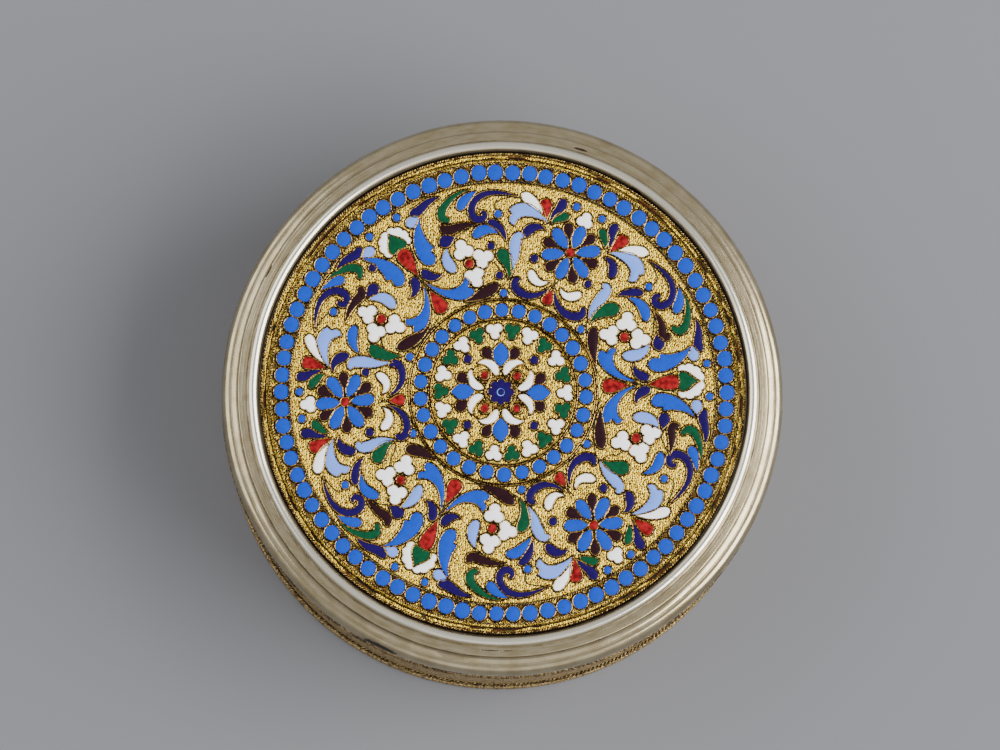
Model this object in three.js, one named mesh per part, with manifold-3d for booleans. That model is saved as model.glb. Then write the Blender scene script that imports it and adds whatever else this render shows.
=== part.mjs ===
// A round silver-gilt box with a lift-off lid and a cloisonne enamel plaque set in the lid.
// Millimetres, +Z up, origin at the centre of the underside. The plaque's pattern has a palmette on +X.
import * as THREE from 'three';
import { mergeVertices } from 'three/addons/utils/BufferGeometryUtils.js';
import Module from 'manifold-3d';

const wasm = await Module();
wasm.setup();

// Driving dimensions
const TURN_STEPS = 56; // flat facets round every turned piece
const BOX_HEIGHT = 31; // table to the top of the lid's bead

// Fits between the pieces
const SEAT_GAP = 0.3; // lid's lip over the body's shoulder
const SLIP_GAP = 0.3; // lid's skirt round the body's collar
const COLLAR_HEADROOM = 0.4; // collar's top under the lid
const PLAQUE_GAP = 0.3; // plaque in its seat, below and round it

// Body, a plain drum on a foot ring, with a collar that the lid slips over
const WALL_RADIUS = 41.3;
const WALL_THICKNESS = 0.9;
const FLOOR_THICKNESS = 1;
const FLOOR_LIFT = 0.8; // underside of the floor above the table
const FOOT_PROUD = 0.7; // foot ring beyond the wall
const FOOT_HEIGHT = 2.2;
const FOOT_TREAD = 1.5; // width of the flat that stands on the table
const RIM_PROUD = 1; // shoulder bead beyond the wall
const RIM_HEIGHT = 1.3;
const COLLAR_THICKNESS = 0.8;
const COLLAR_TAIL = 3; // how far the collar laps the wall's inside

// Lid, a moulded ring round a seat for the plaque
const LID_HEIGHT = 8.1; // lip to the top of the bead
const LID_PROUD = 0.95; // widest part of the moulding beyond the body's wall
const EDGE_WIDTH = 2.55; // moulded edge, from the widest part in to the flat band
const BAND_WIDTH = 1.4; // flat band between the moulded edge and the bead
const SKIRT_THICKNESS = 0.7;
const SKIRT_DROP = 2.2; // plain skirt below the moulding
const LID_PLATE_THICKNESS = 0.8; // the plate that carries the plaque
const BEAD_WIDTH = 1.6;
const BEAD_RISE = 1; // bead above the plaque
const BAND_FALL = 0.2; // band's top below the plaque's ground
const BAND_STEP = 0.7; // height of the step at the band's edge

// Plaque, with wire borders, beads and petals that stand up from its ground
const PLAQUE_THICKNESS = 1.2;
const RELIEF = 0.3;
const WIRE_WIDTH = 0.6;
const BEAD_SIDES = 6;
const OUTER_BORDER = { wires: [1.7, 5], beads: 3.05, beadRadius: 1.12, pitch: 2.555 }; // in from the plaque's edge
const INNER_BORDER = { wires: [11, 13.85], beads: 12.4, beadRadius: 1.08, pitch: 2.597 }; // out from the centre
const EMBED = 0.2; // depth to which a raised cell is rooted in the ground

// Rosettes between the palmettes
const ROSETTE_COUNT = 3;
const ROSETTE_OUTSET = 1.175; // rosette's centre outside the middle of the field
const ROSETTE_PETALS = 6;
const PETAL_ROOT = 0.9;
const PETAL_LENGTH = 3.3;
const PETAL_WIDTH = 1.7;

// Levels and radii that follow from the sizes above
const lipLevel = BOX_HEIGHT - LID_HEIGHT;
const shoulderLevel = lipLevel - SEAT_GAP;
const groundLevel = BOX_HEIGHT - BEAD_RISE;
const plaqueUnderside = groundLevel - PLAQUE_THICKNESS;
const seatLevel = plaqueUnderside - PLAQUE_GAP;
const lidUnderside = seatLevel - LID_PLATE_THICKNESS;
const lidRadius = WALL_RADIUS + LID_PROUD;
const bandRadius = lidRadius - EDGE_WIDTH;
const beadOuterRadius = bandRadius - BAND_WIDTH;
const seatRadius = beadOuterRadius - BEAD_WIDTH;
const plaqueRadius = seatRadius - PLAQUE_GAP;
const outerWireRadii = OUTER_BORDER.wires.map((inset) => plaqueRadius - inset);
const fieldMiddle = (Math.max(...INNER_BORDER.wires) + Math.min(...outerWireRadii)) / 2;
const collarRadius = WALL_RADIUS - WALL_THICKNESS;
const collarBore = collarRadius - COLLAR_THICKNESS;
const skirtBore = collarRadius + SLIP_GAP;
const skirtRadius = skirtBore + SKIRT_THICKNESS;
const mouldingLevel = lipLevel + SKIRT_DROP;
const lidShoulder = lidUnderside - SKIRT_THICKNESS; // where the lid's inside turns in towards its plate

// Points along an elliptical arc in the profile plane, angles in degrees
function arc(centreRadius, centreLevel, width, height, from, to, steps) {
  return Array.from({ length: steps + 1 }, (_, i) => {
    const angle = THREE.MathUtils.degToRad(from + ((to - from) * i) / steps);
    return [centreRadius + width * Math.cos(angle), centreLevel + height * Math.sin(angle)];
  });
}

// A profile of [radius, level] pairs turned about Z
function turned(profile) {
  const points = profile.map(([radius, level]) => new THREE.Vector2(radius, level));
  return new THREE.LatheGeometry(points, TURN_STEPS).rotateX(Math.PI / 2);
}

// Closed geometry to a solid, with shared vertices merged and the slivers at the axis dropped
function toSolid(geometry) {
  const bare = geometry.clone();
  bare.deleteAttribute('normal');
  bare.deleteAttribute('uv');
  const merged = mergeVertices(bare, 1e-4);
  const index = merged.index.array;
  const triangles = [];
  for (let i = 0; i < index.length; i += 3) {
    const [a, b, c] = [index[i], index[i + 1], index[i + 2]];
    if (a !== b && b !== c && c !== a) triangles.push(a, b, c);
  }
  return new wasm.Manifold(new wasm.Mesh({
    numProp: 3,
    vertProperties: new Float32Array(merged.attributes.position.array),
    triVerts: new Uint32Array(triangles),
  }));
}

function toGeometry(solid) {
  const mesh = solid.getMesh();
  const geometry = new THREE.BufferGeometry();
  geometry.setAttribute('position', new THREE.BufferAttribute(mesh.vertProperties, mesh.numProp));
  geometry.setIndex(new THREE.BufferAttribute(mesh.triVerts, 1));
  geometry.computeVertexNormals();
  return geometry;
}

function bodyGeometry() {
  const footRadius = WALL_RADIUS + FOOT_PROUD;
  const rimRadius = WALL_RADIUS + RIM_PROUD;
  const floorLevel = FLOOR_LIFT + FLOOR_THICKNESS;
  const collarTop = lidShoulder - COLLAR_HEADROOM;
  const treadOuter = footRadius - FOOT_PROUD / 2;
  return turned([
    [0, FLOOR_LIFT],
    [treadOuter - FOOT_TREAD - FLOOR_LIFT / 2, FLOOR_LIFT],
    [treadOuter - FOOT_TREAD, 0],
    [treadOuter, 0],
    ...arc(treadOuter, FOOT_HEIGHT / 2, FOOT_PROUD / 2, FOOT_HEIGHT / 2, -45, 45, 3),
    [WALL_RADIUS, FOOT_HEIGHT],
    [WALL_RADIUS, shoulderLevel - RIM_HEIGHT],
    ...arc(rimRadius - RIM_HEIGHT / 2, shoulderLevel - RIM_HEIGHT / 2, RIM_HEIGHT / 2, RIM_HEIGHT / 2, -90, 90, 4),
    [collarRadius, shoulderLevel],
    [collarRadius, collarTop],
    [collarBore, collarTop],
    [collarBore, shoulderLevel - COLLAR_TAIL],
    [collarRadius, shoulderLevel - COLLAR_TAIL],
    [collarRadius, floorLevel],
    [0, floorLevel],
  ]);
}

function lidGeometry() {
  const bandLevel = groundLevel - BAND_FALL;
  const stepFoot = bandLevel - BAND_STEP;
  const ovoloWidth = EDGE_WIDTH / 2;
  const ovoloCentre = lidRadius - ovoloWidth;
  const edgeLevel = mouldingLevel + SKIRT_THICKNESS;
  const ovoloHeight = (stepFoot - edgeLevel) * 0.65;
  const coveHeight = stepFoot - edgeLevel - ovoloHeight;
  return turned([
    [0, lidUnderside],
    [bandRadius - SKIRT_THICKNESS, lidUnderside],
    [skirtBore, lidShoulder],
    [skirtBore, lipLevel],
    [skirtRadius, lipLevel],
    [skirtRadius, mouldingLevel],
    [lidRadius - SKIRT_THICKNESS / 2, mouldingLevel],
    ...arc(ovoloCentre, edgeLevel, ovoloWidth, ovoloHeight, 0, 80, 4),
    ...arc(ovoloCentre, stepFoot, ovoloWidth, coveHeight, 265, 180, 3),
    [bandRadius, bandLevel - BAND_STEP / 3],
    [bandRadius - BAND_STEP / 3, bandLevel],
    [beadOuterRadius, bandLevel],
    ...arc(seatRadius + BEAD_WIDTH / 2, groundLevel, BEAD_WIDTH / 2, BEAD_RISE, 0, 180, 6),
    [seatRadius, seatLevel],
    [0, seatLevel],
  ]);
}

// A low drop-sided cell standing on the ground: a flat outline, pointed or round, raised by RELIEF
function cell(outline) {
  const shape = new THREE.Shape(outline.map(([x, y]) => new THREE.Vector2(x, y)));
  const geometry = new THREE.ExtrudeGeometry(shape, { depth: EMBED + RELIEF, bevelEnabled: false });
  return toSolid(geometry.translate(0, 0, groundLevel - EMBED));
}

// Outline of an ellipse with its near end at `root` along the direction `heading`, in radians
function ellipse(x, y, heading, root, length, width, sides) {
  return Array.from({ length: sides }, (_, i) => {
    const angle = (2 * Math.PI * i) / sides;
    const along = root + (length / 2) * (1 + Math.cos(angle));
    const across = (width / 2) * Math.sin(angle);
    return [
      x + along * Math.cos(heading) - across * Math.sin(heading),
      y + along * Math.sin(heading) + across * Math.cos(heading),
    ];
  });
}

// Beads side by side round a ring, as many as the pitch gives
function beadRing(ring, { beadRadius, pitch }) {
  const count = Math.round((2 * Math.PI * ring) / pitch);
  return Array.from({ length: count }, (_, i) => {
    const angle = (2 * Math.PI * (i + 0.5)) / count;
    return cell(ellipse(0, 0, angle, ring - beadRadius, 2 * beadRadius, 2 * beadRadius, BEAD_SIDES));
  });
}

function rosettePetals(number) {
  const place = (2 * Math.PI * (number + 0.5)) / ROSETTE_COUNT;
  const ring = fieldMiddle + ROSETTE_OUTSET;
  const [x, y] = [ring * Math.cos(place), ring * Math.sin(place)];
  return Array.from({ length: ROSETTE_PETALS }, (_, i) => {
    const heading = place + (2 * Math.PI * i) / ROSETTE_PETALS;
    return cell(ellipse(x, y, heading, PETAL_ROOT, PETAL_LENGTH, PETAL_WIDTH, BEAD_SIDES));
  });
}

function plaqueGeometry() {
  const wireRidges = [...outerWireRadii, ...INNER_BORDER.wires].flatMap((radius) => [
    [radius + WIRE_WIDTH / 2, groundLevel],
    [radius, groundLevel + RELIEF],
    [radius - WIRE_WIDTH / 2, groundLevel],
  ]).sort((a, b) => b[0] - a[0]);
  const plate = toSolid(turned([
    [0, plaqueUnderside],
    [plaqueRadius, plaqueUnderside],
    [plaqueRadius, groundLevel],
    ...wireRidges,
    [0, groundLevel],
  ]));
  const cells = [
    ...beadRing(plaqueRadius - OUTER_BORDER.beads, OUTER_BORDER),
    ...beadRing(INNER_BORDER.beads, INNER_BORDER),
  ];
  for (let number = 0; number < ROSETTE_COUNT; number += 1) cells.push(...rosettePetals(number));
  return toGeometry(cells.reduce((solid, raised) => solid.add(raised), plate));
}

function piece(name, geometry, color, roughness) {
  const material = new THREE.MeshStandardMaterial({ color, roughness, metalness: 1 });
  const mesh = new THREE.Mesh(geometry, material);
  mesh.name = name;
  return mesh;
}

const box = new THREE.Group();
box.add(piece('box_body', bodyGeometry(), 0xa08a5a, 0.4));
box.add(piece('lid', lidGeometry(), 0xc9bd9c, 0.3));
box.add(piece('enamel_plaque', plaqueGeometry(), 0xd9b04c, 0.45));

export default box;
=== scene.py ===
"""Looks of a round silver-gilt box with a lift-off lid and a cloisonne enamel plaque.

Lengths are in millimetres until a mesh is written, which puts them in metres. Z is up and the origin
is at the centre of the underside. The plaque's ornament is drawn in flat frames of its own: x runs
across and y outwards from the plaque's centre.
"""
import logging
import math
from dataclasses import dataclass, field
from enum import Enum
from functools import cached_property
from typing import Callable, Iterable, NamedTuple, Sequence, Union

import bmesh
import bpy
import numpy as np
from mathutils import Matrix, Vector


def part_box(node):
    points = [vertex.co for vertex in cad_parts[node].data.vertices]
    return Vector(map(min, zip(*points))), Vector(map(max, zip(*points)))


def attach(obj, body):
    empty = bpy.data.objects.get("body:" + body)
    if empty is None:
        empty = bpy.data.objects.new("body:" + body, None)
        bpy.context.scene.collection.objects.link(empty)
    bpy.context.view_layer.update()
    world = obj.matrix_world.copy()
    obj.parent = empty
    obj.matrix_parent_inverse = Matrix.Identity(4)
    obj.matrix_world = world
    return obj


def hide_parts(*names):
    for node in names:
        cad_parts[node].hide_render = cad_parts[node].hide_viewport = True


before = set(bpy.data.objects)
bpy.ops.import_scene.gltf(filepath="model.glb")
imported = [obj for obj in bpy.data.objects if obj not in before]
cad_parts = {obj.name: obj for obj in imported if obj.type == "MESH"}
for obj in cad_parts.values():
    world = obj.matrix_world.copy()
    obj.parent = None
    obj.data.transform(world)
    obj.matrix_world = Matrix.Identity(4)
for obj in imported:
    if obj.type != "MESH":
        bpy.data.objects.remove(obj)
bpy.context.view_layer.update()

logging.basicConfig(level=logging.INFO, format="%(message)s")
LOG = logging.getLogger("enamel_box")

Array = np.ndarray
Point = tuple[float, float]
Tint = tuple[float, float, float]

METRES = 0.001
BODY = "root"
TINY = 1e-9

# The draws that set each cell a little off, as a hand does
HAND = np.random.default_rng(17)

# The ornament's height over the plaque's ground, and the air between the plaque and its seat
RELIEF = 0.3
GAP = 0.3


class Enamel(Enum):
    """The enamels of the palette, each by the material slot that it takes its finish from."""

    SKY = "enamel_sky"
    INDIGO = "enamel_indigo"
    PALE = "enamel_pale"
    WHITE = "enamel_white"
    GREEN = "enamel_green"
    RED = "enamel_red"
    MAROON = "enamel_maroon"


SKY, INDIGO, PALE, WHITE, GREEN, RED, MAROON = Enamel


def operator(operation: str, reflected: bool = False) -> Callable[["Signal", "Term"], "Signal"]:
    """A method that adds a Math node.

    Args:
        operation: the node's operation.
        reflected: True to swap the two terms, for the reflected form.

    Returns:
        The method.
    """

    def apply(self: "Signal", other: "Term") -> "Signal":
        """The operation on this value and another."""
        return self.shader.maths(operation, *((other, self) if reflected else (self, other)))

    return apply


class Signal:
    """A value that varies over a surface. Python's operators on it add Math nodes, and | is the greater."""

    __add__, __radd__ = operator("ADD"), operator("ADD", True)
    __sub__, __rsub__ = operator("SUBTRACT"), operator("SUBTRACT", True)
    __mul__, __rmul__ = operator("MULTIPLY"), operator("MULTIPLY", True)
    __truediv__, __rtruediv__ = operator("DIVIDE"), operator("DIVIDE", True)
    __or__, __ror__ = operator("MAXIMUM"), operator("MAXIMUM", True)

    def __init__(self, shader: "Shader", socket: bpy.types.NodeSocket) -> None:
        """Wraps an output socket of a shader's node."""
        self.shader = shader
        self.socket = socket

    def __abs__(self) -> "Signal":
        """This value without its sign."""
        return self.shader.maths("ABSOLUTE", self)


Term = Union[Signal, float]


class Shader:
    """The node tree of one material round a Principled surface."""

    def __init__(self, name: str) -> None:
        """Starts a material with that name."""
        self.material = bpy.data.materials.new(name)
        self.material.use_nodes = True
        self.nodes = self.material.node_tree.nodes
        self.links = self.material.node_tree.links
        self.surface = self.nodes["Principled BSDF"]

    def node(self, kind: str, settings: dict, sockets: dict, output: Union[int, str] = 0) -> Signal:
        """Adds any node.

        Args:
            kind: the node's type.
            settings: its properties.
            sockets: values or signals by the name or number of the input.
            output: the name or number of the output that is wanted.

        Returns:
            That output.
        """
        node = self.nodes.new(kind)
        for key, value in settings.items():
            setattr(node, key, value)
        for key, value in sockets.items():
            self._feed(node.inputs[key], value)
        return Signal(self, node.outputs[output])

    def _feed(self, socket: bpy.types.NodeSocket, value: object) -> None:
        """Links a signal to a socket, or sets a plain value on it."""
        if isinstance(value, Signal):
            self.links.new(value.socket, socket)
        elif isinstance(value, tuple) and len(value) == 3 and len(socket.default_value) == 4:
            socket.default_value = (*value, 1.0)
        else:
            socket.default_value = value

    def set(self, **sockets: object) -> None:
        """Sets or links sockets of the Principled surface, named with _ for each space."""
        for key, value in sockets.items():
            self._feed(self.surface.inputs[key.replace("_", " ")], value)

    def maths(self, operation: str, *terms: Term) -> Signal:
        """A Math node of that operation on the terms."""
        return self.node("ShaderNodeMath", {"operation": operation}, dict(enumerate(terms)))

    def vector(self, operation: str, *terms: object) -> Signal:
        """A Vector Math node of that operation on the terms."""
        return self.node("ShaderNodeVectorMath", {"operation": operation}, dict(enumerate(terms)))

    def mix(self, factor: Term, first: object, second: object) -> Signal:
        """The first colour at factor 0 and the second at factor 1."""
        return self.node("ShaderNodeMix", {"data_type": "RGBA"}, {0: factor, 6: first, 7: second}, 2)

    def step(self, value: Term, low: float, high: float) -> Signal:
        """A smooth step from 0 at low to 1 at high, or the other way round if low is the greater."""
        settings = {"interpolation_type": "SMOOTHSTEP"}
        sockets = {"Value": value, "From Min": min(low, high), "From Max": max(low, high)}
        rising = self.node("ShaderNodeMapRange", settings, sockets)
        return rising if low < high else 1 - rising

    def near(self, value: Signal, place: float, reach: float) -> Signal:
        """1 where a value is at a place, falling smoothly to 0 at a reach either side."""
        return self.step(abs(value - place), reach, 0.0)

    @cached_property
    def place(self) -> Signal:
        """Where the surface is, in millimetres of the box's own frame."""
        metres = self.node("ShaderNodeTexCoord", {}, {}, "Object")
        return self.node("ShaderNodeVectorMath", {"operation": "SCALE"}, {0: metres, "Scale": 1 / METRES})

    @cached_property
    def height(self) -> Signal:
        """How high the place is."""
        return self.parts(self.place)[2]

    @cached_property
    def flat(self) -> Signal:
        """The place without its height."""
        x, y, _ = self.parts(self.place)
        return self.joined(x, y, 0.0)

    @cached_property
    def radius(self) -> Signal:
        """How far the place is from the Z axis."""
        return self.node("ShaderNodeVectorMath", {"operation": "LENGTH"}, {0: self.flat}, "Value")

    @cached_property
    def heading(self) -> tuple[Signal, Signal, Signal]:
        """The parts of the unit vector from the Z axis towards the place."""
        return self.parts(self.vector("NORMALIZE", self.flat))

    def parts(self, vector: Signal) -> tuple[Signal, Signal, Signal]:
        """The three parts of a vector."""
        first = self.node("ShaderNodeSeparateXYZ", {}, {0: vector})
        outputs = first.socket.node.outputs
        return first, Signal(self, outputs[1]), Signal(self, outputs[2])

    def joined(self, x: Term, y: Term, z: Term) -> Signal:
        """A vector of three parts."""
        return self.node("ShaderNodeCombineXYZ", {}, {0: x, 1: y, 2: z})

    def noise(self, grain: float, detail: float = 2.0, vector: Union[Signal, None] = None) -> Signal:
        """Cloudy noise at the place, or at another vector, with features of about a grain."""
        sockets = {"Vector": vector or self.place, "Scale": 1 / grain, "Detail": detail}
        return self.node("ShaderNodeTexNoise", {}, sockets, "Fac")

    def streaks(self, around: float, along: Signal, grain: float = 1.0, detail: float = 3.0) -> Signal:
        """Noise that changes so much round the axis, and from ring to ring with another signal."""
        hx, hy, _ = self.heading
        return self.noise(grain, detail, self.joined(hx * around, hy * around, along))

    def cells(self, grain: float, output: str = "Distance", spread: str = "3D",
              scatter: float = 1.0) -> Signal:
        """What the nearest of scattered points gives.

        Args:
            grain: how far apart the points are.
            output: Distance, in grains, or Color, which is chance.
            spread: 2D to leave out the height, or 3D.
            scatter: 0 for an even grid, 1 for full chance.

        Returns:
            That output.
        """
        settings = {"voronoi_dimensions": spread}
        sockets = {"Vector": self.place, "Scale": 1 / grain, "Randomness": scatter}
        return self.node("ShaderNodeTexVoronoi", settings, sockets, output)

    def relief(self, height: Signal, depth: float) -> None:
        """Feeds the surface's normal with a relief of that depth in millimetres."""
        sockets = {"Strength": 1.0, "Distance": depth * METRES, "Height": height}
        self.set(Normal=self.node("ShaderNodeBump", {}, sockets))


class Finish:
    """What the finishes share. Each has a name and dresses a shader."""

    def material(self) -> bpy.types.Material:
        """The finish's new material."""
        shader = Shader(self.name)
        self.dress(shader)
        return shader.material


@dataclass(frozen=True)
class EnamelFinish(Finish):
    """Opaque or clear glass fired into a cell, with clouds, pinholes and a soft gloss."""

    enamel: Enamel
    body: Tint
    deep: Tint
    gloss: float = 0.34
    speck: Tint = (0.01, 0.01, 0.02)
    shine: float = 0.12
    mottle: float = 0.55

    @property
    def name(self) -> str:
        """The material's name, which is the slot's too."""
        return self.enamel.value

    def dress(self, shader: Shader) -> None:
        """Two colours clouded together, with dark pinholes and a faint ripple."""
        cloud = shader.step(shader.noise(0.7, 3.0), 0.35, 0.72)
        body = shader.mix(cloud * self.mottle, self.body, self.deep)
        scatter = shader.cells(0.55)
        worn = shader.step(shader.noise(2.5), 0.5, 0.62)
        pinhole = shader.step(scatter, 0.13, 0.07) * worn
        shader.set(Base_Color=shader.mix(pinhole * 0.8, body, self.speck))
        shader.set(Roughness=shader.noise(0.9) * 0.12 + (self.gloss - 0.06))
        shader.set(Specular_IOR_Level=self.shine)
        shader.relief(shader.noise(0.5, 2.0) - pinhole * 0.6, 0.02)


@dataclass(frozen=True)
class GroundFinish(Finish):
    """Gilt ground matted all over with a fine punch, with painted glints, dark in the pits and towards the
    rim, and painted shade at its edge.

    The border is a radius and how far its dark reaches. The edge is where the painted shade in the gap under
    the lid starts and is full.
    """

    name: str = "enamel_ground"
    gilt: Tint = (0.88, 0.55, 0.04)
    glint: Tint = (1.0, 0.79, 0.16)
    low: Tint = (0.50, 0.29, 0.018)
    pit: Tint = (0.007, 0.004, 0.003)
    rust: Tint = (0.05, 0.006, 0.003)
    grain: float = 0.32
    scatter: float = 0.8
    punch: float = 0.1
    border: tuple[float, float] = (35.65, 0.95)
    beads: float = 33.4
    edge: tuple[float, float] = (36.1, 36.4)

    def dress(self, shader: Shader) -> None:
        """Punched grains of two golds and a painted glint, with pits between them, darker towards the edge
        and painted shade at it.
        """
        distance = shader.cells(self.grain, "Distance", "2D", self.scatter)
        chance, other, _ = shader.parts(shader.cells(self.grain, "Color", "2D", self.scatter))
        pits = shader.step(distance, 0.42, 0.30) * shader.step(chance, 0.22, 0.34)
        dark = pits | self._border_dark_and_edge_shade(shader)
        metal = shader.mix(shader.step(other, 0.1, 0.3), self.low, self.gilt)
        # Glint: a painted highlight on the ridges between the punch marks.
        metal = shader.mix(shader.step(distance, 0.48, 0.62), metal, self.glint)
        stain = shader.mix(shader.step(shader.noise(0.8), 0.46, 0.56), self.pit, self.rust)
        shader.set(Base_Color=shader.mix(dark, metal, stain))
        shader.set(Metallic=1 - dark * 0.95, Roughness=dark * 0.2 + 0.36, Specular_IOR_Level=0.1)
        shader.relief(distance, self.punch)

    def _border_dark_and_edge_shade(self, shader: Shader) -> Signal:
        """How dark the border's streaks, the band between the beads and the plate's edge are; the plate's
        edge is painted shade in the gap under the lid.
        """
        streaks = shader.streaks(9.0, shader.radius * 1.3, detail=5.0)
        border = shader.near(shader.radius, *self.border) * shader.step(streaks, 0.48, 0.54)
        patches = shader.step(shader.noise(1.0, 3.0), 0.38, 0.5)
        between_beads = shader.step(abs(shader.radius - self.beads), 1.5, 1.1) * patches
        # The plate's edge is painted dark as shade in the gap under the lid's bead.
        return border | between_beads * 0.9 | shader.step(shader.radius, *self.edge)


@dataclass(frozen=True)
class WireFinish(Finish):
    """Gold wire, bright along its crest and black at its foot, partly solder and partly painted shade where
    it meets the ground.
    """

    name: str
    crest: Tint = (0.70, 0.46, 0.12)
    shade: Tint = (0.05, 0.022, 0.006)
    foot: Tint = (0.012, 0.006, 0.003)
    low: float = 30.16
    high: float = 30.25

    def dress(self, shader: Shader) -> None:
        """Dark below the low level, as solder and painted shade at the foot, and gold above the high one,
        with worn patches.
        """
        raised = shader.step(shader.height + shader.noise(0.6) * 0.06 - 0.03, self.low, self.high)
        worn = shader.step(shader.noise(0.28, 2.0) + shader.noise(2.4) * 0.3, 0.58, 0.72)
        gold = shader.mix(worn, self.crest, self.shade)
        # Below the low level the foot colour is painted shade beside the wire, with the dark of solder.
        shader.set(Base_Color=shader.mix(raised, self.foot, gold))
        shader.set(Metallic=raised * 0.6 + 0.4, Roughness=0.5 - raised * 0.2)
        shader.relief(shader.noise(0.2), 0.02)


class Corner(NamedTuple):
    """A dark corner of a moulding, patina with painted shade: its radius, how far it reaches either side,
    and its strength.
    """

    radius: float
    reach: float
    strength: float


class Nick(NamedTuple):
    """A dark nick: its angle in degrees, its radius, its length and width, and its strength."""

    angle: float
    radius: float
    length: float
    width: float
    strength: float = 1.0


@dataclass(frozen=True)
class SpunFinish(Finish):
    """Silver-gilt turned on a lathe, with fine rings, soft stains, dark corners of patina and painted shade,
    and a few nicks.

    The rubbed ring on the bead's crest, lightened as a painted highlight, is its radius and its reach. The
    band of painted shade under the lid's edge, broken by dark pitted grains, is the height where it starts
    and the one where it is full.
    """

    name: str
    metal: Tint
    warm: Tint
    tarnish_and_shade: Tint
    gloss: float
    corners: tuple[Corner, ...] = ()
    nicks: tuple[Nick, ...] = ()
    stain: float = 0.25
    matted: float = 0.0
    rub_and_highlight: tuple[float, float] = (0.0, 0.0)
    bright: Tint = (0.95, 0.90, 0.75)
    shade_and_grime: tuple[float, float] = (0.0, 0.0)
    depth: float = 0.05

    def dress(self, shader: Shader) -> None:
        """Rings round the axis, stains, marks, a painted highlight, painted shade and, on the wall, matting.
        """
        run = shader.radius + shader.height
        rings = shader.streaks(1.6, run * 3.0, 0.9)
        dark = self._nicked(shader, self._stains_and_corner_shade(shader))
        base = shader.mix(shader.step(shader.streaks(14.0, run * 1.4), 0.3, 0.75), self.metal, self.warm)
        # A ring on the bead's crest is lightened: rubbed gilt, and a painted highlight along the crest.
        if self.rub_and_highlight[1]:
            base = shader.mix(shader.near(shader.radius, *self.rub_and_highlight), base, self.bright)
        # A band of painted shade under the lid's edge, on the lid's skirt and the body's rim, broken by dark
        # pitted grains.
        if self.shade_and_grime[1]:
            grains = shader.step(shader.noise(0.35, 3.0) + shader.noise(3.0) * 0.5, 0.66, 0.82)
            dark = dark | shader.step(shader.height, *self.shade_and_grime) * (grains * 0.5 + 0.4)
        dark = dark + rings * 0.08
        pits: Term = 0.0
        if self.matted:
            pits = shader.step(shader.cells(0.32), 0.4, 0.75)
            flecks = shader.step(shader.streaks(90.0, shader.height * 0.6), 0.45, 0.65)
            dark = dark | pits * self.matted | flecks * 0.8
        # This dark colour takes the real stains, nicks and grains, and also the painted shade of the corners
        # and of the band under the lid's edge.
        shader.set(Base_Color=shader.mix(dark, base, self.tarnish_and_shade))
        shader.set(Metallic=1 - dark * 0.35, Roughness=rings * 0.12 + dark * 0.3 + (self.gloss - 0.06))
        shader.relief(rings * 0.5 - dark - pits * 2.0, self.depth)

    def _stains_and_corner_shade(self, shader: Shader) -> Signal:
        """How dark the clouds, the specks and the corners are; the corners are patina with painted shade."""
        clouds = shader.step(shader.noise(7.0, 4.0), 0.42, 0.68)
        specks = shader.step(shader.cells(1.7), 0.09, 0.04) * shader.step(clouds, 0.2, 0.6)
        dark = clouds * self.stain | specks * 0.8
        # Corners: patina in the moulding's hollows, with painted shade laid over it.
        for corner in self.corners:
            patches = shader.noise(2.2, 3.0) * 1.1 - 0.05
            dark = dark | shader.near(shader.radius, corner.radius, corner.reach) * patches * corner.strength
        return dark

    def _nicked(self, shader: Shader, dark: Signal) -> Signal:
        """Adds the nicks, each an ellipse with a ragged edge, to a mask of what is dark."""
        hx, hy, _ = shader.heading
        angle = shader.maths("ARCTAN2", hy, hx)
        for nick in self.nicks:
            along = abs(angle - math.radians(nick.angle)) * (nick.radius / nick.length)
            across = abs(shader.radius - nick.radius) / nick.width
            ragged = along * along + across * across + shader.noise(0.5) * 0.9
            dark = dark | shader.step(ragged, 1.5, 0.9) * nick.strength
        return dark


# The lid's corners darken the step, the bead's foot, the seat and the cove, as patina with painted shade.
LID_GILT = SpunFinish(
    "silver_gilt", (0.55, 0.465, 0.30), (0.41, 0.325, 0.18), (0.022, 0.013, 0.007), 0.2,
    corners=(
        Corner(39.72, 0.2, 1.2), Corner(38.35, 0.2, 1.2), Corner(36.7, 0.3, 1.0), Corner(40.8, 0.12, 0.5),
    ),
    # The bright ring on the bead is partly a painted highlight; the dark band is painted shade on the skirt
    # under the moulding.
    rub_and_highlight=(37.5, 0.9), shade_and_grime=(25.5, 25.05),
    nicks=(
        Nick(68.5, 38.85, 1.3, 0.2), Nick(53.0, 36.55, 1.5, 0.3), Nick(-97.0, 38.8, 1.6, 0.08),
        Nick(-93.0, 38.8, 0.9, 0.07), Nick(148.5, 39.6, 1.2, 0.16), Nick(-105.0, 39.9, 2.6, 0.8, 0.35),
        Nick(-120.0, 42.15, 3.2, 0.35),
    ),
)
# The body's dark band is painted shade on the rim bead under the lid's edge.
BODY_GILT = SpunFinish(
    "aged_gilt", (0.60, 0.43, 0.20), (0.42, 0.28, 0.10), (0.02, 0.011, 0.005), 0.36,
    corners=(Corner(41.3, 0.12, 0.35),), stain=0.3, matted=0.6, shade_and_grime=(21.7, 22.1),
)
WALL_WIRE = WireFinish("wall_wire", (0.26, 0.19, 0.09), (0.05, 0.03, 0.012), low=-2.0, high=-1.0)


def link(name: str, data: bpy.types.ID) -> bpy.types.Object:
    """Makes an object of some data, at the origin, and puts it in the scene."""
    made = bpy.data.objects.new(name, data)
    bpy.context.scene.collection.objects.link(made)
    return made


def weld(mesh: bpy.types.Mesh) -> None:
    """Merges the points of a mesh that lie on each other, such as those at a pole."""
    work = bmesh.new()
    work.from_mesh(mesh)
    bmesh.ops.remove_doubles(work, verts=work.verts, dist=1e-8)
    work.to_mesh(mesh)
    work.free()


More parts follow.
